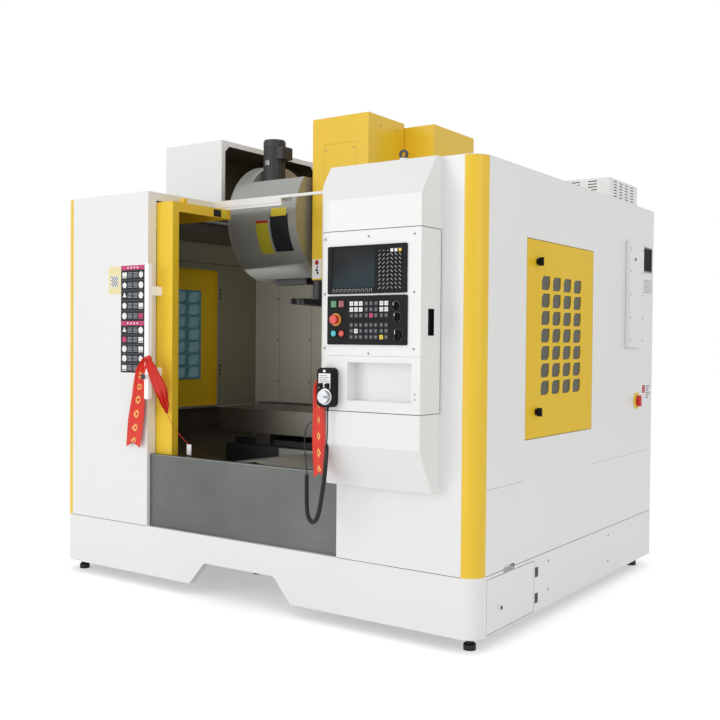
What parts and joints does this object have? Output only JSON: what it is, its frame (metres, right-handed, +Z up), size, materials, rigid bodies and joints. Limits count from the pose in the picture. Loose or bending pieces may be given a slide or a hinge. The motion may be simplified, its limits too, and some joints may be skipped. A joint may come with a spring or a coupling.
{
  "type": "cnc machining center",
  "caption": "Vertical machining centre with a sheet metal enclosure, sliding front doors, tool drum and swing-out control.",
  "frame": {"origin": "on the floor under the middle of the whole machine's box", "axes": "+X to the operator's right, +Y from the front to the back, +Z up"},
  "size_m": [2.66, 2.38, 2.516],
  "materials": {
    "white_paint": "semi gloss powder coat",
    "yellow_paint": "semi gloss powder coat",
    "handle_paint": "gloss powder coat",
    "inner_paint": "satin paint",
    "pan_paint": "satin paint, oily",
    "apron_steel": "brushed sheet",
    "cast_paint": "painted casting",
    "machined_iron": "ground face",
    "bright_steel": "ground steel",
    "drum_paint": "hammered grey paint",
    "black_paint": "satin paint",
    "disc_metal": "turned",
    "foot_steel": "blackened steel",
    "clear_sheet": "clear sheet",
    "black_plastic": "fine grain",
    "cord_rubber": "soft sheath",
    "wheel_metal": "turned, dark rim",
    "red_plastic": "moulded",
    "green_plastic": "moulded",
    "teal_plastic": "moulded"
  },
  "bodies": {
    "root": {"base_frame": "black_paint", "bed_casting": "cast_paint", "column_casting": "cast_paint", "leveling_feet": "foot_steel", "front_skirt": "white_paint", "left_base_panel": "white_paint", "right_base_panel": "white_paint", "left_cabinet": "white_paint", "left_wall": "white_paint", "right_wall": "white_paint", "rear_wall": "white_paint", "control_housing": "white_paint", "corner_pillars": "yellow_paint", "roof_panel": "white_paint", "magazine_hood": "white_paint", "front_apron": "apron_steel", "splash_guard": "inner_paint", "chip_pan": "pan_paint", "way_cover": "inner_paint", "electrical_cabinet": "inner_paint", "vent_box": "white_paint", "service_cover": "white_paint", "magazine_cover": "drum_paint", "tool_change_unit": "black_paint", "column_cover": "yellow_paint", "pendant_cord": "cord_rubber", "pendant_connector": "black_plastic"},
    "left_door": {"left_door": "yellow_paint", "left_door_window": "clear_sheet", "left_door_handle": "handle_paint"},
    "right_door": {"right_door": "yellow_paint", "right_door_window": "clear_sheet"},
    "right_side_door": {"right_side_door": "yellow_paint", "right_side_window": "clear_sheet"},
    "left_side_door": {"left_side_door": "yellow_paint", "left_side_window": "clear_sheet"},
    "control_door": {"control_door": "white_paint", "display_unit": "black_plastic", "operator_panel": "black_plastic", "pendant_body": "black_plastic"},
    "head": {"head_casting": "cast_paint", "head_cover": "yellow_paint"},
    "right_upper_latch": {"right_upper_latch": "black_plastic"},
    "right_lower_latch": {"right_lower_latch": "black_plastic"},
    "base_door": {"base_door": "white_paint"},
    "stop_button": {"stop_button": "red_plastic"},
    "start_button": {"start_button": "teal_plastic"},
    "hold_button": {"hold_button": "red_plastic"},
    "power_on_button": {"power_on_button": "green_plastic"},
    "power_off_button": {"power_off_button": "red_plastic"},
    "mode_knob": {"mode_knob": "black_plastic"},
    "feed_knob": {"feed_knob": "black_plastic"},
    "spindle_knob": {"spindle_knob": "black_plastic"},
    "main_switch": {"main_switch": "red_plastic"},
    "saddle": {"saddle": "cast_paint"},
    "table": {"table": "machined_iron"},
    "spindle": {"spindle": "bright_steel"},
    "tool_disc": {"tool_disc": "disc_metal"},
    "tool_arm": {"tool_arm": "black_paint"},
    "handwheel": {"handwheel": "wheel_metal"}
  },
  "joints": [
    {"name": "left_door_slide", "type": "slide", "parent": "root", "child": "left_door", "axis": [1, 0, 0], "range_m": [0, 0.495]},
    {"name": "right_door_slide", "type": "slide", "parent": "root", "child": "right_door", "axis": [-1, 0, 0], "range_m": [0, 0.61]},
    {"name": "right_side_door_hinge", "type": "hinge", "parent": "root", "child": "right_side_door", "pos_m": [1.292, 0.259, 1.3], "axis": [0, 0, 1], "range_deg": [0, 100]},
    {"name": "left_side_door_hinge", "type": "hinge", "parent": "root", "child": "left_side_door", "pos_m": [-1.292, 0.259, 1.3], "axis": [0, 0, -1], "range_deg": [0, 100]},
    {"name": "right_upper_latch_turn", "type": "hinge", "parent": "right_side_door", "child": "right_upper_latch", "pos_m": [1.3, -0.395, 1.65], "axis": [1, 0, 0], "range_deg": [0, 90]},
    {"name": "right_lower_latch_turn", "type": "hinge", "parent": "right_side_door", "child": "right_lower_latch", "pos_m": [1.3, -0.395, 0.973], "axis": [1, 0, 0], "range_deg": [0, 90]},
    {"name": "base_door_hinge", "type": "hinge", "parent": "root", "child": "base_door", "pos_m": [1.292, -0.402, 0.183], "axis": [0, 0, 1], "range_deg": [0, 100]},
    {"name": "control_door_hinge", "type": "hinge", "parent": "root", "child": "control_door", "pos_m": [0.59, -0.96, 1.369], "axis": [0, 0, -1], "range_deg": [0, 100]},
    {"name": "stop_button_push", "type": "slide", "parent": "control_door", "child": "stop_button", "axis": [0, 1, 0], "range_m": [0, 0.004], "stiffness_N_per_m": 400},
    {"name": "start_button_push", "type": "slide", "parent": "control_door", "child": "start_button", "axis": [0, 1, 0], "range_m": [0, 0.004], "stiffness_N_per_m": 400},
    {"name": "hold_button_push", "type": "slide", "parent": "control_door", "child": "hold_button", "axis": [0, 1, 0], "range_m": [0, 0.004], "stiffness_N_per_m": 400},
    {"name": "power_on_button_push", "type": "slide", "parent": "control_door", "child": "power_on_button", "axis": [0, 1, 0], "range_m": [0, 0.004], "stiffness_N_per_m": 400},
    {"name": "power_off_button_push", "type": "slide", "parent": "control_door", "child": "power_off_button", "axis": [0, 1, 0], "range_m": [0, 0.004], "stiffness_N_per_m": 400},
    {"name": "mode_knob_turn", "type": "hinge", "parent": "control_door", "child": "mode_knob", "pos_m": [1.004, -1.106, 1.43], "axis": [0, -1, 0], "range_deg": [-135, 135]},
    {"name": "feed_knob_turn", "type": "hinge", "parent": "control_door", "child": "feed_knob", "pos_m": [1.009, -1.106, 1.386], "axis": [0, -1, 0], "range_deg": [-135, 135]},
    {"name": "spindle_knob_turn", "type": "hinge", "parent": "control_door", "child": "spindle_knob", "pos_m": [1.012, -1.106, 1.312], "axis": [0, -1, 0], "range_deg": [-135, 135]},
    {"name": "main_switch_turn", "type": "hinge", "parent": "root", "child": "main_switch", "pos_m": [1.3, 0.93, 0.965], "axis": [1, 0, 0], "range_deg": [0, 90]},
    {"name": "saddle_slide", "type": "slide", "parent": "root", "child": "saddle", "axis": [0, 1, 0], "range_m": [-0.03, 0.38]},
    {"name": "table_slide", "type": "slide", "parent": "saddle", "child": "table", "axis": [1, 0, 0], "range_m": [-0.18, 0.46]},
    {"name": "head_slide", "type": "slide", "parent": "root", "child": "head", "axis": [0, 0, 1], "range_m": [-0.5, 0]},
    {"name": "spindle_spin", "type": "hinge", "parent": "head", "child": "spindle", "pos_m": [0, 0.095, 1.54], "axis": [0, 0, -1], "continuous": true},
    {"name": "tool_disc_spin", "type": "hinge", "parent": "root", "child": "tool_disc", "pos_m": [-0.7, 0.095, 1.983], "axis": [1, 0, 0], "continuous": true},
    {"name": "tool_arm_turn", "type": "hinge", "parent": "root", "child": "tool_arm", "pos_m": [-0.31, 0.095, 1.506], "axis": [0, 0, -1], "range_deg": [0, 180]},
    {"name": "handwheel_spin", "type": "hinge", "parent": "control_door", "child": "handwheel", "pos_m": [0.675, -1.145, 1.048], "axis": [0, -1, 0], "continuous": true}
  ]
}
